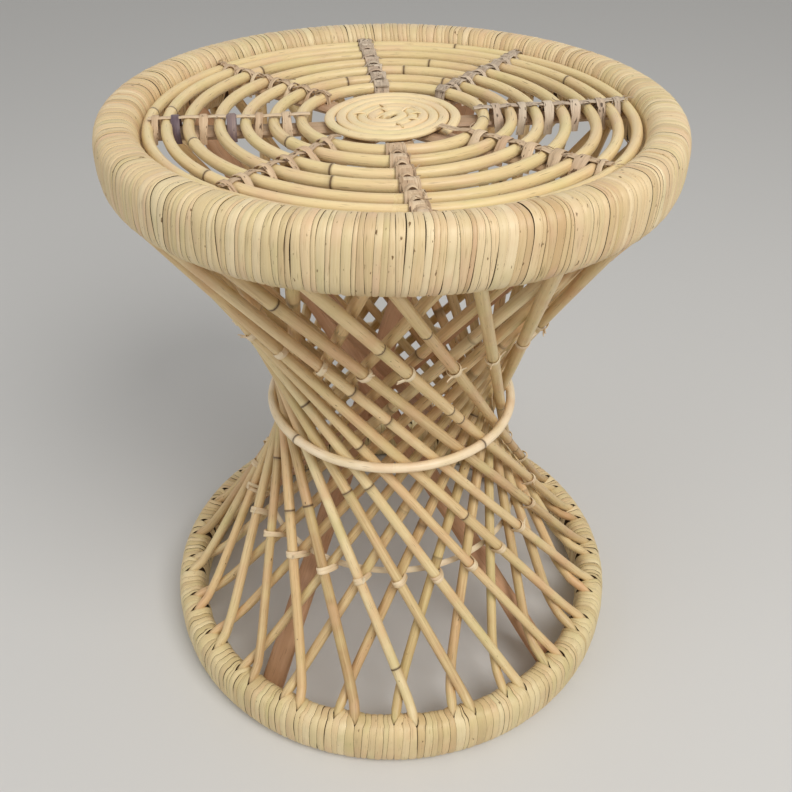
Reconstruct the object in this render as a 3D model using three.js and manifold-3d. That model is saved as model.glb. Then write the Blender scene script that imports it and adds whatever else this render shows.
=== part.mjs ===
// Mudda stool: an hourglass of straight cane rods in two layers, held by a wrapped
// base ring, a waist hoop and a wrapped rim that carries the woven seat.
// Millimetres, +Z up. The origin is on the floor in the middle of the base ring and
// the front of the stool looks along -Y. Angles run from the front towards +X.

import * as THREE from "three";
import { mergeVertices } from "three/addons/utils/BufferGeometryUtils.js";
import Module from "manifold-3d";

const wasm = await Module();
wasm.setup();

const stoolHeight = 458;

// Left between two pieces that touch.
const touchGap = 0.3;

// Base ring: a bundle of canes under a tight wrapping of cane strip.
const baseOuterRadius = 195;
const baseWidth = 24;
const baseHeight = 43;
const baseWrapTurns = 58;

// Rim ring: the same build, taller and fatter.
const rimOuterRadius = 190;
const rimWidth = 29;
const rimHeight = 44;
const rimWrapTurns = 68;

// Both rings: the groove between two turns, and the section as shares of its half sizes,
// with the side that is pressed flat at the top.
const wrapGrooveDepth = 0.9;
const ringSectionShares = [
  [1, -0.42],
  [1, 0.4],
  [0.82, 0.8],
  [0.44, 1],
  [-0.44, 1],
  [-0.82, 0.8],
  [-1, 0.4],
  [-1, -0.42],
  [-0.62, -0.94],
  [0.62, -0.94],
];

// Lattice rods: the outer layer leans one way round and the inner layer the other way.
const rodsPerLayer = 25;
const rodSides = 8;
const rodFootRadius = 3.8;
const rodHeadRadius = 4.1;
const outerFootHeight = 33;
const outerFootInset = 2;
const innerFootHeight = 22;
const innerFootSeat = 6;
const rodHeadDepth = 8;
const rodHeadOutset = 7.5;
const outerWaistRadius = 88;
const layerWaistClearance = 3;
const layerHeadClearance = 1.7;
const outerFirstAngle = THREE.MathUtils.degToRad(-70.1);
const innerFirstAngle = THREE.MathUtils.degToRad(32.6);

// Waist hoop: one round cane outside the rods, close to where they are nearest the axis.
const hoopHeight = 222.8;
const hoopCaneRadius = 3.1;
const hoopCaneSides = 8;
const hoopSteps = 36;

// Tie strip: flat cane round the inside of the two layers, below the waist.
const tieThickness = 1.1;
const tieWidth = 5;
const tieClearance = 0.3;
const tieHeight = 127;
const tieSteps = 36;

// Legs: four bamboo splits that cross beside the axis, one skin side up on each.
const legCount = 4;
const legWidth = 20;
const legThickness = 6.5;
const legSectionShares = [
  [-1, -1],
  [0.2, -1],
  [1, -0.5],
  [1, 0.5],
  [0.2, 1],
  [-1, 1],
];
const legWaistRadius = 18;
const legFootInset = 1.2;
const legHeadInset = 1.6;
const legFootHeight = 3.2;
const legHeadDepth = 18;
const legFirstAngle = THREE.MathUtils.degToRad(-122);

// Seat rings: round canes laid on crossed bamboo splits that are let into the rim. The
// shares give each ring's radius as a part of the outermost one's.
const seatDrop = 7.5;
const seatCaneRadius = 3.75;
const seatCaneSides = 6;
const seatRimClearance = 0.8;
const seatRingShares = [0.381, 0.492, 0.606, 0.718, 0.837, 0.928, 1];
const seatStepLength = 26;
const seatRingSink = 0.5;
const crossSplitCount = 4;
const crossSplitWidth = 16;
const crossSplitThickness = 6;
const crossSplitSeat = 8;
const crossSplitAngle = THREE.MathUtils.degToRad(6.5);

// Seat coil: one cane wound flat, from a straight start in the middle to a loose last turn.
// It has as many half turns as fit inside the smallest seat ring with the room named here.
const coilCaneRadius = 2.9;
const coilCaneSides = 6;
const coilStartRadius = 3.3;
const coilPitch = 6.5;
const coilStepsPerHalfTurn = 12;
const coilLooseGap = 4;
const coilLooseShare = 0.07;
const coilEndAngle = THREE.MathUtils.degToRad(62);
const coilRoom = 10.5;

// Rings, with what everything else takes from them.
const baseRing = {
  outerRadius: baseOuterRadius,
  width: baseWidth,
  height: baseHeight,
  middleHeight: baseHeight / 2,
  turns: baseWrapTurns,
  pressedSide: -1,
};
const rimRing = {
  outerRadius: rimOuterRadius,
  width: rimWidth,
  height: rimHeight,
  middleHeight: stoolHeight - rimHeight / 2,
  turns: rimWrapTurns,
  pressedSide: 1,
};
const baseMiddleRadius = baseOuterRadius - baseWidth / 2;
const baseInnerRadius = baseOuterRadius - baseWidth;
const rimMiddleRadius = rimOuterRadius - rimWidth / 2;
const rimInnerRadius = rimOuterRadius - rimWidth;
const rimBottom = stoolHeight - rimHeight;

function toSolid(geometry) {
  const bare = geometry.clone();
  bare.deleteAttribute("normal");
  bare.deleteAttribute("uv");
  const merged = mergeVertices(bare);
  return new wasm.Manifold(
    new wasm.Mesh({
      numProp: 3,
      vertProperties: Float32Array.from(merged.attributes.position.array),
      triVerts: Uint32Array.from(merged.index.array),
    }),
  );
}

function toGeometry(solid) {
  const mesh = solid.getMesh();
  const geometry = new THREE.BufferGeometry();
  geometry.setAttribute("position", new THREE.BufferAttribute(mesh.vertProperties, 3));
  geometry.setIndex(new THREE.BufferAttribute(mesh.triVerts, 1));
  geometry.computeVertexNormals();
  return geometry;
}

function cutBy(solid, cutters) {
  return cutters.reduce((left, cutter) => left.subtract(cutter), solid);
}

// A closed skin over rows of points that all have as many points. The first and the last
// row are capped, or joined to each other where the rows run round a ring.
function skinOver(rows, isRing) {
  const pointsPerRow = rows[0].length;
  const indices = [];
  const rowCount = isRing ? rows.length : rows.length - 1;
  for (let row = 0; row < rowCount; row += 1) {
    const here = row * pointsPerRow;
    const next = ((row + 1) % rows.length) * pointsPerRow;
    for (let point = 0; point < pointsPerRow; point += 1) {
      const after = (point + 1) % pointsPerRow;
      indices.push(here + point, next + point, here + after);
      indices.push(next + point, next + after, here + after);
    }
  }
  if (!isRing) {
    const last = (rows.length - 1) * pointsPerRow;
    for (let point = 2; point < pointsPerRow; point += 1) {
      indices.push(0, point - 1, point);
      indices.push(last, last + point, last + point - 1);
    }
  }
  const geometry = new THREE.BufferGeometry().setFromPoints(rows.flat());
  geometry.setIndex(indices);
  geometry.computeVertexNormals();
  return geometry;
}

// A wrapped ring: a crest for each turn with a groove after it. The side that the stool
// stands on, or that is sat on, is pressed flat. The same ring without grooves and a
// little larger all round is what other pieces are trimmed to.
function ringGeometry(ring, grooveDepth, growth) {
  const middleRadius = ring.outerRadius - ring.width / 2;
  const steps = 2 * ring.turns;
  const rows = [];
  for (let step = 0; step < steps; step += 1) {
    const angle = (ring.pressedSide * 2 * Math.PI * step) / steps;
    const depth = step % 2 === 0 ? 0 : grooveDepth;
    rows.push(
      ringSectionShares.map(([acrossShare, pressedShare]) => {
        const isPressed = pressedShare === 1;
        const across = acrossShare * (ring.width / 2 + growth - depth);
        const out = pressedShare * (ring.height / 2 + growth - (isPressed ? 0 : depth));
        const radius = middleRadius + across;
        return new THREE.Vector3(
          radius * Math.cos(angle),
          radius * Math.sin(angle),
          ring.middleHeight + ring.pressedSide * out,
        );
      }),
    );
  }
  return skinOver(rows, true);
}

// A straight piece that passes the axis at waistRadius and comes back out to headRadius.
// At height z it lies at x = side * slope * (z - waistHeight), y = -waistRadius.
function lineBetween(footRadius, footHeight, headRadius, headHeight, waistRadius) {
  const footReach = Math.sqrt(footRadius ** 2 - waistRadius ** 2);
  const headReach = Math.sqrt(headRadius ** 2 - waistRadius ** 2);
  const slope = (footReach + headReach) / (headHeight - footHeight);
  return { slope, waistRadius, waistHeight: footHeight + footReach / slope };
}

function radiusAt(line, height) {
  return Math.hypot(line.slope * (height - line.waistHeight), line.waistRadius);
}

// How much the surface that the line sweeps out flares per unit of height.
function flareAt(line, height) {
  return (line.slope ** 2 * (height - line.waistHeight)) / radiusAt(line, height);
}

function pointAt(line, side, height) {
  const x = side * line.slope * (height - line.waistHeight);
  return new THREE.Vector3(x, -line.waistRadius, height);
}

// Outer rods: from the base ring's top, a little inside its middle, to a little outside the
// rim's middle.
const rodHeadHeight = rimBottom + rodHeadDepth;
const outerLine = lineBetween(
  baseMiddleRadius - outerFootInset,
  outerFootHeight,
  rimMiddleRadius + rodHeadOutset,
  rodHeadHeight,
  outerWaistRadius,
);

function rodRadiusAt(height) {
  const share = (height - outerFootHeight) / (rodHeadHeight - outerFootHeight);
  return THREE.MathUtils.lerp(rodFootRadius, rodHeadRadius, share);
}

// The radius of what lies inside a layer of rods at some height, set in by so much across
// the surface they sweep out.
function insetRadiusAt(line, height, inset) {
  return radiusAt(line, height) - inset * Math.hypot(1, flareAt(line, height));
}

// Inner rods: let into the base ring's inner face, and a rod's thickness and a clearance
// inside the outer ones at the waist and at the rim.
const innerLine = lineBetween(
  baseInnerRadius + innerFootSeat,
  innerFootHeight,
  insetRadiusAt(outerLine, rodHeadHeight, 2 * rodHeadRadius + layerHeadClearance),
  rodHeadHeight,
  outerWaistRadius - 2 * rodRadiusAt(outerLine.waistHeight) - layerWaistClearance,
);

function rodGeometry({ line, side, footHeight }, growth) {
  const foot = pointAt(line, side, footHeight);
  const head = pointAt(line, side, rodHeadHeight);
  const axis = head.clone().sub(foot);
  const geometry = new THREE.CylinderGeometry(
    rodHeadRadius + growth,
    rodFootRadius + growth,
    axis.length() + 2 * growth,
    rodSides,
  );
  const turn = new THREE.Quaternion().setFromUnitVectors(
    new THREE.Vector3(0, 1, 0),
    axis.normalize(),
  );
  geometry.applyQuaternion(turn);
  const middle = foot.lerp(head, 0.5);
  return geometry.translate(middle.x, middle.y, middle.z);
}

const layers = [
  {
    name: "outer_rod",
    line: outerLine,
    side: -1,
    footHeight: outerFootHeight,
    firstAngle: outerFirstAngle,
  },
  {
    name: "inner_rod",
    line: innerLine,
    side: 1,
    footHeight: innerFootHeight,
    firstAngle: innerFirstAngle,
  },
];

// One pocket for each rod end in each ring.
const rodPockets = layers.flatMap((layer) => {
  const pocket = rodGeometry(layer, touchGap);
  return Array.from({ length: rodsPerLayer }, (_, rod) => {
    const angle = layer.firstAngle + (2 * Math.PI * rod) / rodsPerLayer;
    return toSolid(pocket.clone().rotateZ(angle));
  });
});

// The height of a cane's flat face over its middle, where its section has even sides.
function caneFlat(radius, sides) {
  return radius * Math.cos(Math.PI / sides);
}

// Seat levels, from the rim's top down.
const seatRingMiddle = stoolHeight - seatDrop - caneFlat(seatCaneRadius, seatCaneSides);
const crossSplitTop =
  seatRingMiddle - caneFlat(seatCaneRadius, seatCaneSides) + seatRingSink;
const coilMiddle = crossSplitTop + touchGap + caneFlat(coilCaneRadius, coilCaneSides);

function crossSplits(growth) {
  const split = new THREE.BoxGeometry(
    crossSplitWidth + 2 * growth,
    2 * (rimInnerRadius + crossSplitSeat + growth),
    crossSplitThickness + 2 * growth,
  );
  split.translate(0, 0, crossSplitTop - crossSplitThickness / 2);
  return Array.from({ length: crossSplitCount }, (_, index) => {
    const angle = crossSplitAngle + (Math.PI * index) / crossSplitCount;
    return toSolid(split.clone().rotateZ(angle));
  });
}

function joined(solids) {
  return solids.reduce((all, solid) => all.add(solid));
}

const baseSolid = cutBy(toSolid(ringGeometry(baseRing, wrapGrooveDepth, 0)), rodPockets);
const rimSolid = cutBy(toSolid(ringGeometry(rimRing, wrapGrooveDepth, 0)), [
  ...rodPockets,
  joined(crossSplits(touchGap)),
]);

const outerSeatRingRadius = rimInnerRadius - seatRimClearance - seatCaneRadius;
const seatRingRadii = seatRingShares.map((share) => share * outerSeatRingRadius);
const seatRings = seatRingRadii.map((radius) => {
  const steps = Math.round((2 * Math.PI * radius) / seatStepLength);
  const ring = new THREE.TorusGeometry(radius, seatCaneRadius, seatCaneSides, steps);
  return toSolid(ring.translate(0, 0, seatRingMiddle));
});
const seatGrille = joined([...crossSplits(0), ...seatRings]);

// Coil path: half turns about two centres, one cane apart, with the radius growing
// steadily. It bows out over its last part and ends in a straight tail.
const coilDiameter = 2 * coilCaneRadius;
const coilReach = seatRingRadii[0] - seatCaneRadius - coilRoom;
const coilSpread = coilReach - coilStartRadius - coilDiameter;
const coilHalfTurns = Math.floor((2 * coilSpread) / coilPitch);
const coilWinding = coilHalfTurns * Math.PI;

function coilRadiusAt(winding) {
  const looseStart = coilWinding * (1 - coilLooseShare);
  const loose = Math.max(0, (winding - looseStart) / (coilWinding - looseStart));
  const bow = coilLooseGap * Math.sin(Math.PI * loose) ** 2;
  return coilStartRadius + (coilPitch * winding) / (2 * Math.PI) + bow;
}

function coilPath(stepsPerHalfTurn) {
  const path = [new THREE.Vector2(coilCaneRadius, -coilStartRadius)];
  for (let half = 0; half < coilHalfTurns; half += 1) {
    const centreX = half % 2 === 0 ? -coilCaneRadius : coilCaneRadius;
    for (let step = 0; step <= stepsPerHalfTurn; step += 1) {
      const winding = Math.PI * (half + step / stepsPerHalfTurn);
      const radius = coilRadiusAt(winding);
      const x = centreX - radius * Math.sin(winding);
      path.push(new THREE.Vector2(x, -radius * Math.cos(winding)));
    }
  }
  const [before, last] = path.slice(-2);
  path.push(last.clone().addScaledVector(last.clone().sub(before).normalize(), coilDiameter));
  return path;
}

function coilGeometry() {
  const path = coilPath(coilStepsPerHalfTurn);
  const rows = path.map((point, index) => {
    const back = path[Math.max(index - 1, 0)];
    const ahead = path[Math.min(index + 1, path.length - 1)];
    const along = ahead.clone().sub(back).normalize();
    return Array.from({ length: coilCaneSides }, (_, side) => {
      const angle = (2 * Math.PI * side) / coilCaneSides;
      const across = coilCaneRadius * Math.cos(angle);
      const up = coilCaneRadius * Math.sin(angle);
      return new THREE.Vector3(
        point.x + across * along.y,
        point.y - across * along.x,
        coilMiddle + up,
      );
    });
  });
  return skinOver(rows, false);
}

// The least gap between parts of the coil that are at least half a turn apart.
function coilLeastGap() {
  const stepsPerHalfTurn = 5 * coilStepsPerHalfTurn;
  const path = coilPath(stepsPerHalfTurn);
  let least = Infinity;
  for (let one = 0; one < path.length; one += 1) {
    for (let other = one + stepsPerHalfTurn; other < path.length; other += 1) {
      least = Math.min(least, path[one].distanceTo(path[other]) - coilDiameter);
    }
  }
  return least;
}
console.log("least gap of the seat coil to itself, mm:", coilLeastGap().toFixed(2));

// Waist hoop: its flats clear the rods, also in the middle of a step.
const hoopMiddleRadius =
  (radiusAt(outerLine, hoopHeight) + rodRadiusAt(hoopHeight) + touchGap + hoopCaneRadius) /
  Math.cos(Math.PI / hoopSteps);
const hoopGeometry = new THREE.TorusGeometry(
  hoopMiddleRadius,
  hoopCaneRadius,
  hoopCaneSides,
  hoopSteps,
).translate(0, 0, hoopHeight);

// The tie strip leans with the flare of the inner rods and lies against their inner side.
function tieGeometry() {
  const inset = rodRadiusAt(tieHeight) + tieClearance + tieThickness / 2;
  const middleRadius = insetRadiusAt(innerLine, tieHeight, inset);
  const flare = flareAt(innerLine, tieHeight);
  const along = new THREE.Vector2(flare, 1).normalize();
  const across = new THREE.Vector2(1, -flare).normalize();
  const corners = [
    [-1, -1],
    [1, -1],
    [1, 1],
    [-1, 1],
    [-1, -1],
  ].map(([acrossSide, alongSide]) =>
    new THREE.Vector2(middleRadius, tieHeight)
      .addScaledVector(across, (acrossSide * tieThickness) / 2)
      .addScaledVector(along, (alongSide * tieWidth) / 2),
  );
  return new THREE.LatheGeometry(corners, tieSteps).rotateX(Math.PI / 2);
}

// Legs: a bamboo split along its line, with its width level, trimmed to the two rings.
const legHeadHeight = rimBottom + legHeadDepth;
const legLine = lineBetween(
  baseInnerRadius - legFootInset,
  legFootHeight,
  rimInnerRadius - legHeadInset,
  legHeadHeight,
  legWaistRadius,
);

function legGeometry() {
  const foot = pointAt(legLine, -1, legFootHeight);
  const head = pointAt(legLine, -1, legHeadHeight);
  const section = new THREE.Shape(
    legSectionShares.map(
      ([throughShare, acrossShare]) =>
        new THREE.Vector2((throughShare * legThickness) / 2, (acrossShare * legWidth) / 2),
    ),
  );
  const split = new THREE.ExtrudeGeometry(section, {
    depth: foot.distanceTo(head),
    bevelEnabled: false,
  });
  split.rotateY(-Math.atan(legLine.slope));
  return split.translate(foot.x, foot.y, foot.z);
}

const ringTrims = [baseRing, rimRing].map((ring) =>
  toSolid(ringGeometry(ring, 0, touchGap)),
);

const stool = new THREE.Group();
stool.name = "mudda_stool";

function addPiece(name, geometry, colour, roughness) {
  const material = new THREE.MeshStandardMaterial({ color: colour, roughness, metalness: 0 });
  const mesh = new THREE.Mesh(geometry, material);
  mesh.name = name;
  stool.add(mesh);
  return mesh;
}

addPiece("base_ring", toGeometry(baseSolid), 0xc9b383, 0.6);
addPiece("rim_ring", toGeometry(rimSolid), 0xdcc795, 0.55);

for (const layer of layers) {
  for (let rod = 0; rod < rodsPerLayer; rod += 1) {
    const label = `${layer.name}_${String(rod + 1).padStart(2, "0")}`;
    const mesh = addPiece(label, rodGeometry(layer, 0), 0xd9bb80, 0.5);
    mesh.rotation.z = layer.firstAngle + (2 * Math.PI * rod) / rodsPerLayer;
  }
}

addPiece("waist_hoop", hoopGeometry, 0xe3c997, 0.45);
addPiece("tie_strip", tieGeometry(), 0xd8bfa2, 0.6);

for (let leg = 0; leg < legCount; leg += 1) {
  const angle = legFirstAngle + (2 * Math.PI * leg) / legCount;
  const blank = toSolid(legGeometry().rotateZ(angle));
  addPiece(`leg_split_${leg + 1}`, toGeometry(cutBy(blank, ringTrims)), 0x9c7450, 0.6);
}

addPiece("seat_grille", toGeometry(seatGrille), 0xdcc287, 0.5);
const coil = addPiece("seat_coil", coilGeometry(), 0xe0c78c, 0.5);
coil.rotation.z = coilEndAngle + coilWinding;

export default stool;
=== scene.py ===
import math
import random
import bpy
import numpy as np
from mathutils import Matrix, Vector


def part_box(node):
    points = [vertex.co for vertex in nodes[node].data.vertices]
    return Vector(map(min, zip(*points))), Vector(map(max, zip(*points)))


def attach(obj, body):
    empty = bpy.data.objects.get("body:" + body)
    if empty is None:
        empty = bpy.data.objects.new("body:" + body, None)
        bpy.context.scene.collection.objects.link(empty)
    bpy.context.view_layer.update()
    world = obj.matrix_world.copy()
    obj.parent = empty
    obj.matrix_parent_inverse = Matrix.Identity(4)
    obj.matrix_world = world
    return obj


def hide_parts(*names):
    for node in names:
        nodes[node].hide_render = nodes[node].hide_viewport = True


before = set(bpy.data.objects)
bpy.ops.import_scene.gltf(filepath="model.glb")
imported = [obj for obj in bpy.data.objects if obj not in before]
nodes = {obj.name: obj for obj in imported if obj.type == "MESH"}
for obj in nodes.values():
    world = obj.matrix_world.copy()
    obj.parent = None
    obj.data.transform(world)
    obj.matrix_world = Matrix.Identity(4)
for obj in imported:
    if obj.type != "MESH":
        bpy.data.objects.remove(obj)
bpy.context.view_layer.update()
mm = 0.001
turn = 2 * math.pi
print("frame loaded:", len(nodes), "nodes")


# colours are written as they look on screen, 0 to 255
def srgb(red, green, blue):
    def linear(c):
        c = c / 255
        return c / 12.92 if c <= 0.04045 else ((c + 0.055) / 1.055) ** 2.4
    return (linear(red), linear(green), linear(blue), 1.0)


def limited(value, low, high):
    return min(high, max(low, value))


# 0 up to a start, then rising to 1 over a length
def ramp(value, start, length):
    return np.clip((value - start) / length, 0, 1)


# node helpers: an input is linked when it is given a socket, and otherwise set to the value
def feed(tree, target, source):
    if isinstance(source, bpy.types.NodeSocket):
        tree.links.new(source, target)
    else:
        target.default_value = source


def addNode(tree, kind, inputs=None, **settings):
    node = tree.nodes.new(kind)
    for key, value in settings.items():
        setattr(node, key, value)
    for place, source in (inputs or {}).items():
        feed(tree, node.inputs[place], source)
    return node


def addGroup(tree, group, **inputs):
    return addNode(tree, "ShaderNodeGroup", inputs, node_tree=group).outputs


def calculate(tree, operation, first, second):
    return addNode(tree, "ShaderNodeMath", {0: first, 1: second}, operation=operation).outputs[0]


def combine(tree, *parts):
    return addNode(tree, "ShaderNodeCombineXYZ", dict(enumerate(parts))).outputs[0]


def addNoise(tree, place, scale, detail, roughness):
    return addNode(tree, "ShaderNodeTexNoise", {0: place, 2: scale, 3: detail, 4: roughness}).outputs[0]


def mapRange(tree, value, fromLow, fromHigh, toLow=0.0, toHigh=1.0):
    inputs = {0: value, 1: fromLow, 2: fromHigh, 3: toLow, 4: toHigh}
    return addNode(tree, "ShaderNodeMapRange", inputs).outputs[0]


def mixColour(tree, share, first, second, blend="MIX"):
    inputs = {0: share, 6: first, 7: second}
    return addNode(tree, "ShaderNodeMix", inputs, data_type="RGBA", blend_type=blend).outputs[2]


# the place of a noise, U and V each drawn out by its own number
def stretch(tree, split, across, along, shift):
    return combine(tree, calculate(tree, "MULTIPLY", split[0], across),
                   calculate(tree, "MULTIPLY", split[1], along), shift)


# node groups shared by the cane, bamboo and bark materials
def newGroup(name, inputs, outputs):
    group = bpy.data.node_groups.new(name, "ShaderNodeTree")
    for label, kind, value in inputs:
        socket = group.interface.new_socket(label, in_out="INPUT", socket_type="NodeSocket" + kind)
        if value is not None:
            socket.default_value = value
    for label, kind in outputs:
        group.interface.new_socket(label, in_out="OUTPUT", socket_type="NodeSocket" + kind)
    return group, group.nodes.new("NodeGroupInput").outputs, group.nodes.new("NodeGroupOutput").inputs


# a noise is its scale, detail and roughness
grainLook = {"shiftStep": 37.0, "streak": (1.0, 4.0, 0.6), "fine": (1.0, 3.0, 0.7),
             "patch": (28.0, 3.0, 0.55), "finer": (3.1, 2.3, 1.0)}


# streaks that run along the fibre: U is across the piece and V along it, both in metres
def makeGrainGroup():
    group, given, result = newGroup(
        "fibreGrain",
        [("UV", "Vector", None), ("Shift", "Float", 0.0), ("Across", "Float", 900.0),
         ("Along", "Float", 30.0)],
        [("Streak", "Float"), ("Fine", "Float"), ("Patch", "Float")],
    )
    split = addNode(group, "ShaderNodeSeparateXYZ", {0: given["UV"]}).outputs
    shift = calculate(group, "MULTIPLY", given["Shift"], grainLook["shiftStep"])
    place = stretch(group, split, given["Across"], given["Along"], shift)
    finer = addNode(group, "ShaderNodeVectorMath", {0: place, 1: grainLook["finer"]}, operation="MULTIPLY")
    wide = combine(group, split[0], split[1], given["Shift"])
    feed(group, result["Streak"], addNoise(group, place, *grainLook["streak"]))
    feed(group, result["Fine"], addNoise(group, finer.outputs[0], *grainLook["fine"]))
    feed(group, result["Patch"], addNoise(group, wide, *grainLook["patch"]))
    return group


fleckLook = {"shiftStep": 61.0, "noise": (1.0, 2.0, 0.5), "level": 0.86, "edge": 0.06,
             "crackAcross": 1700.0, "crackAlong": 75.0, "crackRange": (0.64, 0.74, 0.0, 0.55)}


# short dark flecks and cracks; Amount near 0 gives few of them
def makeFleckGroup():
    group, given, result = newGroup(
        "darkFlecks",
        [("UV", "Vector", None), ("Shift", "Float", 0.0), ("Across", "Float", 520.0),
         ("Along", "Float", 190.0), ("Amount", "Float", 0.3)],
        [("Mask", "Float")],
    )
    split = addNode(group, "ShaderNodeSeparateXYZ", {0: given["UV"]}).outputs
    shift = calculate(group, "MULTIPLY", given["Shift"], fleckLook["shiftStep"])
    place = stretch(group, split, given["Across"], given["Along"], shift)
    level = calculate(group, "SUBTRACT", fleckLook["level"], given["Amount"])
    top = calculate(group, "ADD", level, fleckLook["edge"])
    mask = mapRange(group, addNoise(group, place, *fleckLook["noise"]), level, top)
    crackPlace = stretch(group, split, fleckLook["crackAcross"], fleckLook["crackAlong"], shift)
    cracks = mapRange(group, addNoise(group, crackPlace, *fleckLook["noise"]), *fleckLook["crackRange"])
    feed(group, result["Mask"], calculate(group, "MAXIMUM", mask, cracks))
    return group


toneLook = {"middle": 0.5, "patchShare": 0.7}


# three tones of one material, chosen by the piece's own tone and varied by the grain
def makeToneGroup():
    group, given, result = newGroup(
        "caneTone",
        [("Tone", "Float", 0.5), ("Streak", "Float", 0.5), ("Patch", "Float", 0.5),
         ("Dark", "Color", (0.3, 0.2, 0.1, 1)), ("Mid", "Color", (0.5, 0.4, 0.2, 1)),
         ("Pale", "Color", (0.8, 0.7, 0.5, 1)), ("Contrast", "Float", 0.5)],
        [("Color", "Color")],
    )
    middle = toneLook["middle"]
    streak = calculate(group, "SUBTRACT", given["Streak"], middle)
    streak = calculate(group, "MULTIPLY", streak, given["Contrast"])
    patch = calculate(group, "SUBTRACT", given["Patch"], middle)
    patch = calculate(group, "MULTIPLY", patch, toneLook["patchShare"])
    place = calculate(group, "ADD", calculate(group, "ADD", streak, patch), given["Tone"])
    darker = mixColour(group, mapRange(group, place, 0.0, middle), given["Dark"], given["Mid"])
    whole = mixColour(group, mapRange(group, place, middle, 1.0), darker, given["Pale"])
    feed(group, result["Color"], whole)
    return group


fibreGrain = makeGrainGroup()
darkFlecks = makeFleckGroup()
caneTone = makeToneGroup()

# what a user would change on each finish: first the colours, and then the numbers
colourParts = ("dark", "mid", "pale", "fleck", "stain", "blush")
numberParts = ("flecks", "across", "along", "contrast", "rough", "bump")
finishes = {
    "rimStrip": (
        (192, 166, 122), (221, 197, 153), (240, 222, 184), (120, 92, 56), (200, 184, 132), (224, 190, 156),
        0.17, 1500, 22, 0.7, 0.42, 0.25),
    "baseStrip": (
        (190, 166, 118), (224, 202, 154), (240, 222, 180), (120, 92, 56), (200, 188, 130), (222, 190, 150),
        0.15, 1500, 22, 0.7, 0.44, 0.25),
    "rodCane": (
        (178, 144, 98), (221, 194, 145), (240, 219, 175), (74, 50, 28), (202, 186, 128), (222, 182, 140),
        0.13, 620, 14, 1.0, 0.4, 0.2),
    "hoopCane": (
        (216, 186, 148), (243, 220, 184), (250, 233, 202), (74, 50, 30), (220, 196, 146), (232, 198, 158),
        0.04, 620, 12, 0.7, 0.34, 0.12),
    "seatCane": (
        (194, 164, 112), (224, 199, 148), (242, 220, 172), (84, 58, 32), (212, 196, 136), (228, 194, 156),
        0.1, 620, 13, 0.9, 0.38, 0.15),
    "coilCane": (
        (212, 184, 136), (234, 210, 164), (245, 224, 182), (120, 88, 52), (222, 208, 152), (236, 204, 164),
        0.1, 620, 20, 0.7, 0.42, 0.15),
    "knotStrip": (
        (196, 170, 130), (226, 204, 168), (241, 224, 192), (140, 108, 76), (214, 192, 150), (228, 198, 168),
        0.06, 900, 40, 0.6, 0.5, 0.2),
    "splitBamboo": (
        (166, 122, 90), (199, 156, 121), (218, 178, 142), (104, 68, 46), (192, 150, 110), (202, 154, 120),
        0.06, 500, 7, 1.0, 0.5, 0.3),
    "seatSplit": (
        (150, 120, 94), (186, 157, 126), (210, 184, 150), (80, 54, 38), (178, 150, 114), (184, 148, 122),
        0.16, 420, 9, 1.0, 0.55, 0.3),
    "lashBark": (
        (148, 120, 92), (203, 177, 145), (228, 205, 172), (100, 76, 54), (190, 168, 146), (208, 176, 146),
        0.22, 800, 50, 1.2, 0.66, 0.45),
    "lashGrey": (
        (140, 122, 104), (196, 178, 156), (222, 205, 182), (90, 74, 60), (182, 167, 154), (198, 172, 150),
        0.24, 800, 50, 1.3, 0.7, 0.5),
    "lashNavy": (
        (62, 52, 66), (104, 88, 96), (150, 130, 122), (40, 34, 46), (92, 78, 92), (112, 90, 92),
        0.15, 900, 50, 1.3, 0.5, 0.2),
    # the core under the ring turns: its dark browns are painted shade, seen through the cracks between the
    # turns
    "innerBundle": (
        (52, 36, 20), (84, 60, 34), (124, 94, 56), (34, 22, 14), (76, 56, 32), (84, 58, 36),
        0.2, 600, 20, 0.9, 0.75, 0.3),
}
# what all finishes share; stain and blush say where in the patches each begins and ends, and its strength
surfaceLook = {"specular": 0.42, "coatRough": 0.25, "stain": (0.52, 0.72, 0.0, 0.6),
               "blush": (0.48, 0.3, 0.0, 0.6), "plainHue": 0.5, "pink": (1.0, 0.92, 0.86, 1),
               "green": (0.94, 0.965, 0.88, 1),
               "fineRange": (0.3, 0.7), "smoother": 0.08, "rougher": 0.12, "bumpDistance": 0.6 * mm}
# the values that each point of a mesh carries for its finish
pointValues = ("tone", "mark", "hue")


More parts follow.
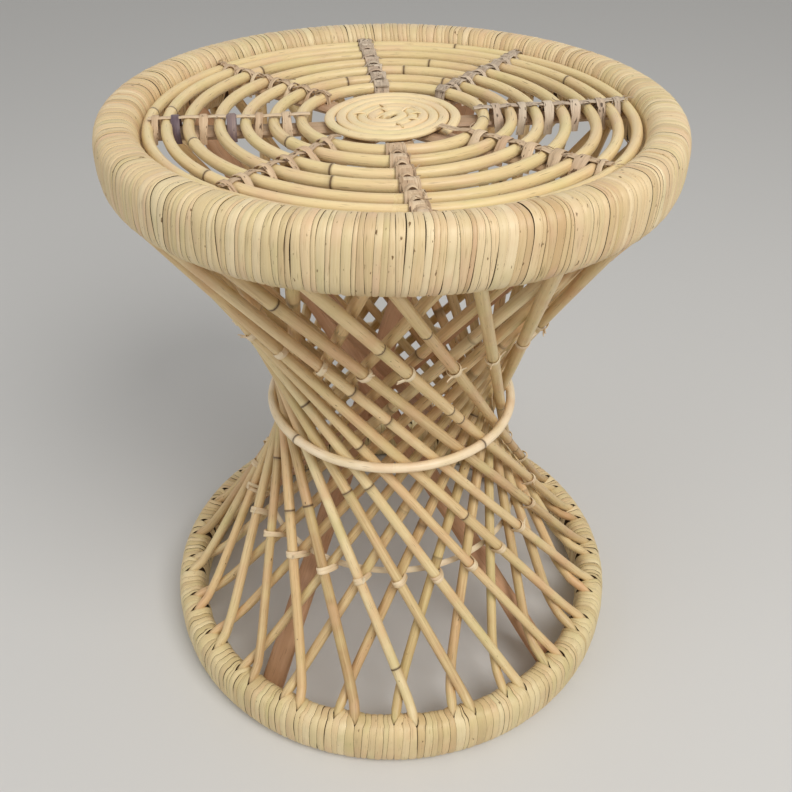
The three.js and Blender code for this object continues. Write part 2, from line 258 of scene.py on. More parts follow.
def makeFinish(name):
    row = finishes[name]
    look = dict(zip(colourParts, (srgb(*colour) for colour in row)))
    look.update(zip(numberParts, row[len(colourParts):]))
    material = bpy.data.materials.new(name)
    material.use_nodes = True
    tree = material.node_tree
    shader = tree.nodes["Principled BSDF"].inputs
    shader["Specular IOR Level"].default_value = surfaceLook["specular"]
    shader["Coat Roughness"].default_value = surfaceLook["coatRough"]
    uv = addNode(tree, "ShaderNodeUVMap", uv_map="fibre").outputs[0]
    tone, mark, hue = (addNode(tree, "ShaderNodeAttribute", attribute_name=key).outputs["Fac"]
                       for key in pointValues)
    grain = addGroup(tree, fibreGrain, UV=uv, Shift=tone, Across=look["across"], Along=look["along"])
    colour = addGroup(tree, caneTone, Tone=tone, Streak=grain["Streak"], Patch=grain["Patch"],
                      Dark=look["dark"], Mid=look["mid"], Pale=look["pale"], Contrast=look["contrast"])[0]
    for part in ("stain", "blush"):
        colour = mixColour(tree, mapRange(tree, grain["Patch"], *surfaceLook[part]), colour, look[part])
    for end, tint in ((0.0, "pink"), (1.0, "green")):
        share = mapRange(tree, hue, surfaceLook["plainHue"], end)
        colour = mixColour(tree, share, colour, surfaceLook[tint], "MULTIPLY")
    flecks = addGroup(tree, darkFlecks, UV=uv, Shift=tone, Amount=look["flecks"])[0]
    for mask in (flecks, mark):
        colour = mixColour(tree, mask, colour, look["fleck"])
    feed(tree, shader["Base Color"], colour)
    rough = mapRange(tree, grain["Fine"], *surfaceLook["fineRange"],
                     look["rough"] - surfaceLook["smoother"], look["rough"] + surfaceLook["rougher"])
    feed(tree, shader["Roughness"], rough)
    height = calculate(tree, "ADD", grain["Streak"], grain["Fine"])
    inputs = {"Strength": look["bump"], "Distance": surfaceLook["bumpDistance"],
              "Height": calculate(tree, "SUBTRACT", height, flecks)}
    feed(tree, shader["Normal"], addNode(tree, "ShaderNodeBump", inputs).outputs[0])
    return material


materials = {name: makeFinish(name) for name in finishes}
print("materials made:", len(materials))


# mesh helpers: grids of points gathered into one mesh with a fibre UV map
def newStore():
    return {"verts": [], "faces": [], "uvs": [], "tone": [], "mark": [], "hue": [], "count": 0}


# the cut ends of a cane
capLook = {"tone": 0.3, "mark": 0.35, "uvStep": 0.001}


# points[n][m]: n rows along the piece, m points across it
def addGrid(store, points, closedAcross, closedAlong=False, capEnds=False, tone=0.5, mark=0.0, hue=0.5,
            uStart=0.0, vStart=0.0):
    points = np.asarray(points, float)
    rows, cols = points.shape[:2]
    start = store["count"]
    store["verts"].append(points.reshape(-1, 3))
    for key, value in (("tone", tone), ("mark", mark), ("hue", hue)):
        store[key].append(np.full(rows * cols, value) if np.isscalar(value) else np.reshape(value, -1))
    middle = points.mean(axis=1)
    ring = points[rows // 2]
    u = uStart + np.concatenate([[0], np.cumsum(np.linalg.norm(np.diff(ring, axis=0), axis=1))])
    v = vStart + np.concatenate([[0], np.cumsum(np.linalg.norm(np.diff(middle, axis=0), axis=1))])
    if closedAcross:
        u = np.append(u, u[-1] + np.linalg.norm(ring[0] - ring[-1]))
    if closedAlong:
        v = np.append(v, v[-1] + np.linalg.norm(middle[0] - middle[-1]))
    for i in range(rows if closedAlong else rows - 1):
        here, after = start + i * cols, start + ((i + 1) % rows) * cols
        for j in range(cols if closedAcross else cols - 1):
            k = (j + 1) % cols
            store["faces"].append((here + j, here + k, after + k, after + j))
            store["uvs"].extend((u[j], v[i], u[j + 1], v[i], u[j + 1], v[i + 1], u[j], v[i + 1]))
    store["count"] += rows * cols
    if not capEnds:
        return
    step = capLook["uvStep"]
    for i, flip in ((0, True), (rows - 1, False)):
        centre = store["count"]
        store["verts"].append(points[i].mean(axis=0)[None])
        for key, value in (("tone", capLook["tone"]), ("mark", capLook["mark"]), ("hue", hue)):
            store[key].append(np.array([value]))
        store["count"] += 1
        first = start + i * cols
        for j in range(cols):
            k = (j + 1) % cols
            store["faces"].append((first + k, first + j, centre) if flip else (first + j, first + k, centre))
            store["uvs"].extend((u[j], v[i], u[j], v[i] + step, u[j] + step, v[i]))


def makePiece(name, store, finish, replaced=(), angle=50):
    mesh = bpy.data.meshes.new(name)
    mesh.from_pydata(np.concatenate(store["verts"]).tolist(), [], store["faces"])
    layer = mesh.uv_layers.new(name="fibre")
    layer.data.foreach_set("uv", np.array(store["uvs"], np.float32))
    for key in pointValues:
        attribute = mesh.attributes.new(key, "FLOAT", "POINT")
        attribute.data.foreach_set("value", np.concatenate(store[key]).astype(np.float32))
    mesh.materials.append(materials[finish])
    mesh.shade_smooth()
    mesh.set_sharp_from_angle(angle=math.radians(angle))
    piece = bpy.data.objects.new(name, mesh)
    bpy.context.scene.collection.objects.link(piece)
    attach(piece, "root")
    if replaced:
        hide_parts(*replaced)


# a node of a cane: how far it swells, its dark ring, the shade before it, and the tone before and behind it;
# points of the path lie closer together round it, so that its ring stays thin
nodeLook = {"swell": 2.2 * mm, "ring": 0.9 * mm, "shade": 0.14, "shadeLength": 2 * mm, "paler": 0.03,
            "darker": 0.02, "points": (-4, -2, -1, -0.5, 0, 0.5, 1, 2, 4), "least": 0.3 * mm}


# a round cane along a path of points, thicker at its nodes
def addCane(store, path, radius, sides, closed=False, tone=0.5, hue=0.5, nodePlaces=(), rise=0.0, flat=0.0):
    path = np.asarray(path, float)
    count = len(path)
    along = np.roll(path, -1, axis=0) - np.roll(path, 1, axis=0) if closed else np.gradient(path, axis=0)
    along /= np.linalg.norm(along, axis=1)[:, None]
    side = np.cross(along, np.array([0.0, 0.0, 1.0]))
    side /= np.maximum(np.linalg.norm(side, axis=1), 1e-6)[:, None]
    over = np.cross(side, along)
    length = np.concatenate([[0], np.cumsum(np.linalg.norm(np.diff(path, axis=0), axis=1))])
    radii = np.full(count, float(radius)) if np.isscalar(radius) else np.array(radius, float)
    mark = np.zeros(count)
    tones = np.full(count, float(tone))
    shadeLength = nodeLook["shadeLength"]
    for place in nodePlaces:
        off = length - place
        radii *= 1 + rise * np.exp(-(off / nodeLook["swell"]) ** 2)
        mark = np.maximum(mark, np.exp(-(off / nodeLook["ring"]) ** 2))
        mark = np.maximum(mark, nodeLook["shade"] * np.exp(-((off + shadeLength) / shadeLength) ** 2))
        tones = np.where(off > 0, tones + nodeLook["paler"], tones - nodeLook["darker"])
    angles = np.arange(sides) * turn / sides
    section = (np.cos(angles)[None, :, None] * side[:, None]
               + (1 - flat) * np.sin(angles)[None, :, None] * over[:, None])
    addGrid(store, path[:, None] + radii[:, None, None] * section, True, closed, not closed,
            tone=np.repeat(tones, sides), mark=np.repeat(mark, sides), hue=hue)


def refine(length, step, places):
    marks = list(np.arange(0, length, step)) + [length]
    for place in places:
        marks += [place + d * mm for d in nodeLook["points"]]
    marks = sorted(m for m in marks if 0 <= m <= length)
    kept = [marks[0]]
    for m in marks[1:]:
        if m - kept[-1] > nodeLook["least"]:
            kept.append(m)
    return np.array(kept)


# a flat strip along a path: width lies along acrossDirs, thickness along outDirs
def addStrip(store, path, acrossDirs, outDirs, width, thickness, tone=0.5, hue=0.5, closed=False, crown=0.3):
    path = np.asarray(path, float)
    acrossDirs, outDirs = (np.broadcast_to(np.asarray(dirs, float), path.shape)[:, None]
                           for dirs in (acrossDirs, outDirs))
    width = np.broadcast_to(width, (len(path),))[:, None, None]
    shape = np.array([(-1, 0), (-0.7, 1), (0, 1 + crown), (0.7, 1), (1, 0), (0.7, -1), (-0.7, -1)]) / 2
    grid = (path[:, None] + shape[None, :, :1] * width * acrossDirs
            + shape[None, :, 1:] * thickness * outDirs)
    addGrid(store, grid, True, closed, not closed, tone=tone, hue=hue)


# places on the stool
def azimuth(point):
    return math.atan2(point[0], -point[1])  # from the front towards +X


# the level directions at an angle: out from the axis, and across that
def levelWays(angle):
    return np.array([math.sin(angle), -math.cos(angle), 0]), np.array([math.cos(angle), math.sin(angle), 0])


def upBy(height):
    return np.array([0, 0, height])


def atAngle(angle, radius, z):
    return levelWays(angle)[0] * radius + upBy(z)


# rods: the axis of each comes from its CAD node
def axisOf(name):
    co = np.array([v.co for v in nodes[name].data.vertices])
    order = np.argsort(co[:, 2])
    half = len(co) // 2
    return co[order[:half]].mean(axis=0), co[order[half:]].mean(axis=0)


rodNames = {layer: sorted(n for n in nodes if n.startswith(layer + "_rod_")) for layer in ("outer", "inner")}
rodAxes = {name: axisOf(name) for names in rodNames.values() for name in names}


def onRod(name, z):
    foot, head = rodAxes[name]
    return foot + (z - foot[2]) / (head[2] - foot[2]) * (head - foot)


# wrapped rings
ringLook = {
    "base": {"node": "base_ring", "width": 24 * mm, "stripWidth": 5.2 * mm, "power": 2.9,
             "finish": "baseStrip", "seed": 5, "lean": 0.7 * mm},
    "rim": {"node": "rim_ring", "width": 29 * mm, "stripWidth": 4.2 * mm, "power": 2.9,
            "finish": "rimStrip", "seed": 11, "lean": 2.2 * mm},
}


def ringShape(label):
    low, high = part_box(ringLook[label]["node"])
    halfWidth = ringLook[label]["width"] / 2
    return (high.x - low.x) / 2 - halfWidth, (low.z + high.z) / 2, halfWidth, (high.z - low.z) / 2


# the section starts and ends at its lower inner corner, where the seam in the fibre map is out of sight
def sectionTable(halfWidth, halfHeight, power, count=44, fineCount=2001):
    corner = -0.375 * turn
    fine = np.linspace(corner, corner + turn, fineCount)
    x = halfWidth * np.sign(np.cos(fine)) * np.abs(np.cos(fine)) ** (2 / power)
    z = halfHeight * np.sign(np.sin(fine)) * np.abs(np.sin(fine)) ** (2 / power)
    length = np.concatenate([[0], np.cumsum(np.hypot(np.diff(x), np.diff(z)))])
    at = np.linspace(0, length[-1], count, endpoint=False)
    x, z = np.interp(at, length, x), np.interp(at, length, z)
    nx = np.sign(x) * np.abs(x / halfWidth) ** (power - 1) / halfWidth
    nz = np.sign(z) * np.abs(z / halfHeight) ** (power - 1) / halfHeight
    size = np.hypot(nx, nz)
    return x, z, nx / size, nz / size


# each rod foot bends out over the top of the base ring and ends under its wrapping;
# a tip is given from the middle of the ring: outwards and then height from the floor
footLook = {"bendHeight": 66 * mm, "leaveHeight": 49 * mm, "seatHeight": 33 * mm, "growth": 1.6, "steps": 12,
            "ahead": 5 * mm, "drift": 0.9, "overShare": 0.35, "overIn": 5.5 * mm, "overHeight": 42.5 * mm,
            "outer": {"bend": 2.5 * mm, "tip": (3.0 * mm, 37.0 * mm)},
            "inner": {"bend": 9 * mm, "tip": (0.5 * mm, 37.5 * mm)}}


def bentRod(name, layer, z):
    p = onRod(name, z)
    below = max(0.0, (footLook["bendHeight"] - z) / (footLook["bendHeight"] - footLook["seatHeight"]))
    growth = footLook["growth"]
    return p + levelWays(azimuth(p))[0] * footLook[layer]["bend"] * growth * below ** growth


def footCurve(name, layer):
    middleRadius = ringShape("base")[0]
    start = bentRod(name, layer, footLook["leaveHeight"])
    ahead = bentRod(name, layer, footLook["leaveHeight"] - 2 * mm) - start
    ahead /= np.linalg.norm(ahead)
    outward, tipHeight = footLook[layer]["tip"]
    angle = azimuth(start)
    tipRadius = middleRadius + outward
    drift = ahead.dot(levelWays(angle)[1]) * (tipRadius - math.hypot(start[0], start[1])) * footLook["drift"]
    tipAngle = angle + drift / middleRadius
    tip = atAngle(tipAngle, tipRadius, tipHeight)
    over = atAngle(tipAngle - footLook["overShare"] * drift / middleRadius, tipRadius - footLook["overIn"],
                   footLook["overHeight"])
    nearby = start + ahead * footLook["ahead"]
    return np.array([(1 - t) ** 3 * start + 3 * t * (1 - t) ** 2 * nearby
                     + 3 * t * t * (1 - t) * over + t ** 3 * tip
                     for t in np.linspace(1, 0, footLook["steps"])])


footCurves = {name: footCurve(name, layer) for layer in rodNames for name in rodNames[layer]}

# how far the turns of a ring open for a rod and rise over it; a fade is its start and its length,
# and that of the rim is only a length, because it starts at the apex
notchLook = {"level": (0.1, 0.5), "inside": (-1.15, 0.5), "spread": 4.4 * mm,
             "base": {"openFade": (-2.2 * mm, 6 * mm), "openPower": 0.8, "opened": 2.9 * mm,
                      "raiseFade": (-5 * mm, 7 * mm), "raised": 2.1 * mm},
             "rim": {"apex": {"outer": 0.62, "inner": 0.5}, "openFade": 0.75, "opened": 4.4 * mm,
                     "height": 416 * mm}}


# where a rod opens the turns of a ring: its angle, and its middle and width at each place round the section
def baseNotch(name, layer, x, level):
    look = notchLook["base"]
    middleRadius, _, halfWidth, _ = ringShape("base")
    curve = footCurves[name]
    tipAngle = azimuth(curve[0])
    offsets = np.array([(azimuth(p) - tipAngle + math.pi) % turn - math.pi for p in curve])
    radii = np.hypot(curve[:, 0], curve[:, 1])
    middle = np.interp(middleRadius + x, radii[::-1], offsets[::-1])
    beforeTip = footLook[layer]["tip"][0] - x
    inside = ramp(x / halfWidth, *notchLook["inside"]) * level
    return {"angle": tipAngle % turn, "middle": middle,
            "opened": inside * ramp(beforeTip, *look["openFade"]) ** look["openPower"] * look["opened"],
            "raised": inside * ramp(beforeTip, *look["raiseFade"]) * look["raised"]}


def rimNotch(name, layer, x, level):
    look = notchLook["rim"]
    place = x / ringShape("rim")[2]
    inside = ramp(place, *notchLook["inside"]) * level
    opened = inside * ramp(look["apex"][layer] - place, 0, look["openFade"]) * look["opened"]
    return {"angle": azimuth(onRod(name, look["height"])) % turn, "middle": 0 * x, "opened": opened,
            "raised": 0 * x}


# the turns: their relative widths, the cracks between them, how they lie, and the section of a strip; then
# the core under them, whose dark colour is painted shade for the cracks
wrapLook = {"inset": 0.3 * mm, "widths": (0.62, 0.85, 1.0, 1.15, 1.35), "widthSpread": (0.9, 1.1),
            "crack": (0.01, 0.05), "wideCrack": (0.06, 0.17), "wideCrackShare": 0.26,
            "leanWave": 0.6, "wave": 0.4 * mm, "ownWave": 0.28, "lift": (-0.12, 0.16), "tilt": (-0.12, 0.12),
            "profile": ((-1.0, -0.3), (-0.7, 0.06), (0.0, 0.16), (0.7, 0.06), (1.0, -0.3)),
            "tone": (0.5, 0.14), "hue": 0.46, "hueWave": 0.2, "hueSpread": 0.1, "fibreShift": (0, 5),
            "coreInset": 1.1 * mm, "coreSteps": 144, "coreShadeTone": 0.4}


def wrapRing(label):
    look = ringLook[label]
    middleRadius, middleZ, halfWidth, halfHeight = ringShape(label)
    rng = random.Random(look["seed"])
    x, z, nx, nz = sectionTable(halfWidth - wrapLook["inset"], halfHeight - wrapLook["inset"], look["power"])
    level = ramp((z if label == "base" else -z) / halfHeight, *notchLook["level"])
    notch = baseNotch if label == "base" else rimNotch
    notches = sorted((notch(name, layer, x, level) for layer in rodNames for name in rodNames[layer]),
                     key=lambda n: n["angle"])
    radii = middleRadius + x
    roundPlace = np.arange(len(x)) * turn / len(x)
    slow = [rng.uniform(0, turn) for _ in range(4)]
    store = newStore()
    turns = 0

    def seamShift(angle):
        leanWave = wrapLook["leanWave"] * math.sin(2 * angle + slow[0]) * math.cos(5 * angle + slow[1])
        wave = wrapLook["wave"] * np.sin(roundPlace + slow[2] + 3 * math.sin(angle + slow[3]))
        own = rng.uniform(0, wrapLook["ownWave"]) * mm * np.sin(2 * roundPlace + rng.uniform(0, turn))
        return (look["lean"] * (1 + leanWave) * z / halfHeight + wave + own) / radii

    def sectionAt(theta, out):
        radius = middleRadius + x + nx * out
        return np.stack([radius * np.sin(theta), -radius * np.cos(theta), middleZ + z + nz * out], axis=1)

    for k, here in enumerate(notches):
        after = notches[(k + 1) % len(notches)]
        gap = (after["angle"] - here["angle"]) % turn
        hereMiddle, afterMiddle = here["angle"] + here["middle"], here["angle"] + gap + after["middle"]
        strips = max(1, round(gap * (middleRadius + halfWidth) / look["stripWidth"]))
        shares = [0.0]
        for _ in range(strips):
            shares.append(shares[-1] + rng.choice(wrapLook["widths"]) * rng.uniform(*wrapLook["widthSpread"]))
        shares = np.array(shares) / shares[-1]
        first = hereMiddle + here["opened"] / radii
        last = afterMiddle - after["opened"] / radii
        seams = [first + (last - first) * share for share in shares]
        for s in range(1, strips):
            seams[s] = seams[s] + seamShift(here["angle"] + gap * shares[s])
        cracks = []
        for s in range(strips + 1):
            crack = rng.uniform(*wrapLook["crack"])
            if rng.random() < wrapLook["wideCrackShare"]:
                depth = rng.uniform(*wrapLook["wideCrack"])
                opening = np.sin(roundPlace * rng.choice((1, 2)) + rng.uniform(0, turn))
                crack = crack + depth * np.clip(opening, 0, 1)
            cracks.append(crack)
        for s in range(strips):
            spread = seams[s + 1] - seams[s]
            left, right = seams[s] + spread * cracks[s] / 2, seams[s + 1] - spread * cracks[s + 1] / 2
            lift = rng.uniform(*wrapLook["lift"]) * mm
            tilt = rng.uniform(*wrapLook["tilt"]) * mm
            rows = []
            for place, bulge in wrapLook["profile"]:
                theta = (left + right) / 2 + place * (right - left) / 2
                out = bulge * mm + lift + tilt * place
                for rod, middle in ((here, hereMiddle), (after, afterMiddle)):
                    out = out + rod["raised"] * np.exp(-((theta - middle) * radii / notchLook["spread"]) ** 2)
                rows.append(sectionAt(theta, out))
            hueHere = wrapLook["hue"] + wrapLook["hueWave"] * math.sin(3 * here["angle"] + slow[1])
            addGrid(store, np.stack(rows, axis=1), False, True,
                    tone=limited(rng.gauss(*wrapLook["tone"]), 0.05, 0.95),
                    hue=limited(rng.gauss(hueHere, wrapLook["hueSpread"]), 0.0, 1.0),
                    uStart=rng.uniform(*wrapLook["fibreShift"]), vStart=rng.uniform(*wrapLook["fibreShift"]))
            turns += 1
    makePiece(label + "_wrapping", store, look["finish"], [look["node"]], angle=60)
    # a dark core just under the turns, coloured as painted shade where the cracks between the turns open on
    # it
    coreStore = newStore()
    coreAngles = np.arange(wrapLook["coreSteps"]) * turn / wrapLook["coreSteps"]
    rows = [sectionAt(theta, -wrapLook["coreInset"]) for theta in coreAngles]
    addGrid(coreStore, rows, True, True, tone=wrapLook["coreShadeTone"])
    makePiece(label + "_painted_shade_core", coreStore, "innerBundle")
    print(label, "ring wrapped:", turns, "turns")


wrapRing("base")
wrapRing("rim")


# rods
rodLook = {"sides": 12, "seed": 21, "step": 9 * mm, "nodesEach": (1, 3), "nodeRange": (0.15, 0.92),
           "nodeRise": 0.055, "radius": 3.8 * mm, "growth": 0.3 * mm, "radiusSpread": 0.07,
           "radiusWave": 0.02, "tipShare": 0.6, "tipSteps": 6, "wobble": 0.5 * mm, "waves": (2.2, 3.1, 9),
           "tone": (0.5, 0.13), "innerDarker": 0.06, "hue": (0.46, 0.24)}
# heights of the nodes that show on the front rods, by rod, in millimetres
shownNodes = {"outer_rod_25": (155,), "outer_rod_01": (168,), "outer_rod_03": (191,), "outer_rod_04": (199,),
              "outer_rod_07": (296,), "inner_rod_22": (272,), "outer_rod_09": (354,), "inner_rod_02": (236,),
              "outer_rod_02": (71,)}


def makeRod(name, layer, rng):
    head = rodAxes[name][1]
    curve = footCurves[name]
    curveLength = float(np.linalg.norm(np.diff(curve, axis=0), axis=1).sum())
    foot = onRod(name, footLook["leaveHeight"])
    length = float(np.linalg.norm(head - foot))
    direction = (head - foot) / length
    places = [float(np.linalg.norm(onRod(name, height * mm) - foot)) for height in shownNodes.get(name, ())]
    more = rng.randint(*rodLook["nodesEach"]) - len(places)
    places += [rng.uniform(*rodLook["nodeRange"]) * length for _ in range(more)]
    phase = [rng.uniform(0, turn) for _ in range(4)]
    side = np.cross(direction, upBy(1.0))
    side /= np.linalg.norm(side)
    spread = 1 + rng.uniform(-1, 1) * rodLook["radiusSpread"]
    sideWaves, upWaves, radiusWaves = rodLook["waves"]
    path = list(curve)
    tipSteps = rodLook["tipSteps"]
    shares = np.concatenate([np.linspace(rodLook["tipShare"], 1, tipSteps), np.ones(len(curve) - tipSteps)])
    radii = list(rodLook["radius"] * spread * shares)
    for a in refine(length, rodLook["step"], places)[1:]:
        share = a / length
        sway = rodLook["wobble"] * math.sin(math.pi * share)
        path.append(bentRod(name, layer, (foot + a * direction)[2])
                    + side * sway * math.sin(sideWaves * math.pi * share + phase[0])
                    + upBy(sway * math.sin(upWaves * math.pi * share + phase[1])))
        wave = 1 + rodLook["radiusWave"] * math.sin(radiusWaves * share + phase[2])
        radii.append((rodLook["radius"] + rodLook["growth"] * share) * spread * wave)
    store = newStore()
    darker = rodLook["innerDarker"] if layer == "inner" else 0
    tone = limited(rng.gauss(*rodLook["tone"]) - darker, 0.05, 0.95)
    hue = limited(rng.gauss(*rodLook["hue"]), 0.0, 1.0)
    addCane(store, path, radii, rodLook["sides"], tone=tone, hue=hue,
            nodePlaces=[curveLength + place for place in places], rise=rodLook["nodeRise"])
    makePiece("cane_" + name, store, "rodCane", [name])


rodRng = random.Random(rodLook["seed"])
for rodLayer in ("outer", "inner"):
    for rodName in rodNames[rodLayer]:
        makeRod(rodName, rodLayer, rodRng)
print("rods made:", len(rodAxes))


# waist hoop
hoopLook = {"nodeAngles": (-49.5, 43, 150), "nodeRise": 0.08, "caneRadius": 3.6 * mm, "inset": 3.1 * mm,
            "sides": 14, "step": 3 * mm, "wobble": 0.5 * mm, "rise": 0.6 * mm, "tone": 0.62, "seed": 3}


# points round a circle that wavers a little, closer together at the nodes; gives their places along it too
def circlePath(radius, z, step, wobble, rng, rise=0.0, nodeAngles=()):
    phases = [rng.uniform(0, turn) for _ in range(4)]
    places = [math.radians(angle % 360) * radius for angle in nodeAngles]
    angles = refine(turn * radius, step, places)[:-1] / radius
    r = radius + wobble * (0.6 * np.sin(2 * angles + phases[0]) + 0.4 * np.sin(5 * angles + phases[1]))
    h = z + rise * (0.6 * np.sin(angles + phases[2]) + 0.4 * np.sin(3 * angles + phases[3]))
    return np.stack([r * np.sin(angles), -r * np.cos(angles), h], axis=1), places


def makeHoop():
    low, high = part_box("waist_hoop")
    radius, z = (high.x - low.x) / 2 - hoopLook["inset"], (low.z + high.z) / 2
    path, places = circlePath(radius, z, hoopLook["step"], hoopLook["wobble"],
                              random.Random(hoopLook["seed"]), hoopLook["rise"], hoopLook["nodeAngles"])
    store = newStore()
    addCane(store, path, hoopLook["caneRadius"], hoopLook["sides"], closed=True, tone=hoopLook["tone"],
            nodePlaces=places, rise=hoopLook["nodeRise"])
    makePiece("hoop_cane", store, "hoopCane", ["waist_hoop"])


makeHoop()


# tie strip below the waist, and knots round the crossings
tieLook = {"shiftZ": -2.5 * mm, "inset": 0.5 * mm, "width": 5 * mm, "thickness": 1 * mm, "tilt": 0.55,
           "tone": 0.8, "step": 4 * mm, "wobble": 0.5 * mm, "rise": 1.4 * mm, "seed": 4}


def makeTie():
    low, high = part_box("tie_strip")
    radius = min(high.x - low.x, high.y - low.y) / 2 - tieLook["inset"]
    path = circlePath(radius, (low.z + high.z) / 2 + tieLook["shiftZ"], tieLook["step"], tieLook["wobble"],
                      random.Random(tieLook["seed"]), tieLook["rise"])[0]
    ways = [levelWays(azimuth(point)) for point in path]
    out = np.array([outward + upBy(tieLook["tilt"]) for outward, _ in ways])
    out /= np.linalg.norm(out, axis=1)[:, None]
    across = np.cross([level for _, level in ways], out)
    store = newStore()
    addStrip(store, path, across, out, tieLook["width"], tieLook["thickness"], tone=tieLook["tone"],
             closed=True)
    makePiece("tie_band", store, "knotStrip", ["tie_strip"])


# the height where an outer rod crosses an inner one, next to the height that is given, and that inner rod
def crossingNear(name, height, reach=16 * mm, step=0.5 * mm):
    best = None
    for z in np.arange(height - reach, height + reach, step):
        here = azimuth(onRod(name, z))
        for other in rodNames["inner"]:
            off = abs((azimuth(onRod(other, z)) - here + math.pi) % turn - math.pi)
            if best is None or off < best[0]:
                best = (off, z, other)
    return best[1], best[2]


# a point of a rod, and the directions along it, outwards and to its side
def rodFrame(name, z):
    foot, head = rodAxes[name]
    axis = (head - foot) / np.linalg.norm(head - foot)
    point = onRod(name, z)
    radial = levelWays(azimuth(point))[0]
    outward = radial - axis * radial.dot(axis)
    outward /= np.linalg.norm(outward)
    return point, axis, outward, np.cross(axis, outward)


knotLook = {
    "lower": {"height": 127 * mm, "width": 3.0 * mm, "thickness": 0.9 * mm, "seed": 8,
              "shifts": (-1.2, 1.2), "steps": 24, "rods": 8.2 * mm, "room": 1.6 * mm,
              "halfWidth": 4.6 * mm, "powers": (0.85, 0.7), "lean": 0.2, "drift": 0.3,
              "tone": (0.55, 0.14), "hue": (0.3, 0.6), "endShare": 0.4},
    "upper": {"height": 319 * mm, "width": (3.8, 4.8), "thickness": 0.8 * mm, "seed": 9, "hug": 4.75 * mm,
              "open": 2.3, "steps": 19, "lean": 0.35, "drift": 2, "tone": (0.65, 0.95), "hue": (0.3, 0.6),
              "ends": (1, 2, 2)},
    "end": {"length": (5, 9), "rise": (0.3, 1.0), "curl": (0.5, 2.5), "out": 3.4 * mm, "side": 3.0 * mm,
            "reach": 0.8, "widths": (2.8, 2.8, 2.6, 2.3, 1.8, 1.2, 0.4), "thickness": 0.7 * mm,
            "tone": (0.5, 0.85)},
}


# below the waist each knot is wound round both rods of a crossing
def makeLowerKnots():
    look = knotLook["lower"]
    sidePower, outPower = look["powers"]
    rng = random.Random(look["seed"])
    store = newStore()
    for name in rodNames["outer"]:
        z, other = crossingNear(name, look["height"])
        outerPoint, axis, outward, side = rodFrame(name, z)
        innerPoint = onRod(other, z)
        reach = (float(np.linalg.norm(outerPoint - innerPoint)) + look["rods"] + look["room"]) / 2
        for shift in look["shifts"]:
            lean = rng.uniform(-look["lean"], look["lean"])
            drift = rng.uniform(-look["drift"], look["drift"])
            middle = (outerPoint + innerPoint) / 2 + axis * (shift + drift) * mm
            path, outs = [], []
            for a in np.arange(look["steps"]) * turn / look["steps"]:
                c, s = math.cos(a), math.sin(a)
                across = look["halfWidth"] * math.copysign(abs(s) ** sidePower, s)
                along = reach * math.copysign(abs(c) ** outPower, c)
                path.append(middle + outward * along + side * across + axis * across * lean)
                outs.append(outward * c + side * s)
            tone, hue = limited(rng.gauss(*look["tone"]), 0.2, 0.95), rng.uniform(*look["hue"])
            addStrip(store, path, axis, outs, look["width"], look["thickness"], tone, hue, closed=True)
        if rng.random() < look["endShare"]:
            addKnotEnd(store, outerPoint, axis, outward, side, rng)
    makePiece("lower_knots", store, "knotStrip")


# a pointed end of strip that stands off a rod
def addKnotEnd(store, point, axis, outward, side, rng):
    look = knotLook["end"]
    way = rng.choice((-1, 1))
    length, rise, curl = (rng.uniform(*look[key]) for key in ("length", "rise", "curl"))
    start = point + outward * look["out"] + side * way * look["side"]
    along = side * way + axis * rise
    path = [start + (along * t * length * look["reach"] + outward * curl * t ** 2) * mm
            for t in np.linspace(0, 1, len(look["widths"]))]
    flatWay = np.cross(along / np.linalg.norm(along), outward)
    addStrip(store, path, flatWay, outward, np.array(look["widths"]) * mm, look["thickness"],
             tone=rng.uniform(*look["tone"]))


# above the waist a single strip is bent round the outer rod, and one or two ends stand off
def makeUpperKnots():
    look = knotLook["upper"]
    rng = random.Random(look["seed"])
    store = newStore()
    for name in rodNames["outer"]:
        z = crossingNear(name, look["height"])[0]
        point, axis, outward, side = rodFrame(name, z + rng.uniform(-look["drift"], look["drift"]) * mm)
        lean = rng.uniform(-look["lean"], look["lean"])
        bends = np.linspace(-look["open"], look["open"], look["steps"])
        outs = [outward * math.cos(a) + side * math.sin(a) for a in bends]
        path = [point + look["hug"] * (out + axis * lean * math.sin(a)) for a, out in zip(bends, outs)]
        addStrip(store, path, axis, outs, rng.uniform(*look["width"]) * mm, look["thickness"],
                 tone=rng.uniform(*look["tone"]), hue=rng.uniform(*look["hue"]))
        for _ in range(rng.choice(look["ends"])):
            addKnotEnd(store, point, axis, outward, side, rng)
    makePiece("upper_knots", store, "knotStrip")


makeTie()
makeLowerKnots()
makeUpperKnots()
print("hoop, tie and knots made")


# legs: bamboo splits between the two rings; the section is in shares of half the width and thickness
legLook = {"tone": (0.5, 0.55, 0.45, 0.55), "widthShare": 0.82, "endInset": 1.5 * mm, "faceInset": 0.3 * mm,
           "steps": 60, "seed": 31, "nodeRanges": ((0.15, 0.4), (0.55, 0.85)), "bulge": 0.12,
           "bulgeLength": 0.008, "mark": 0.6, "markLength": 0.0022, "trimRate": 40, "trimEnd": 0.55,
           "edgeWaves": ((0.05, 17), (0.03, 41)),
           "section": ((-1, 0.2), (-0.8, 0.75), (-0.4, 0.98), (0, 1.05), (0.4, 0.98), (0.8, 0.75), (1, 0.2),
                       (0.95, -0.7), (0.6, -0.75), (0, -0.6), (-0.6, -0.75), (-0.95, -0.7))}


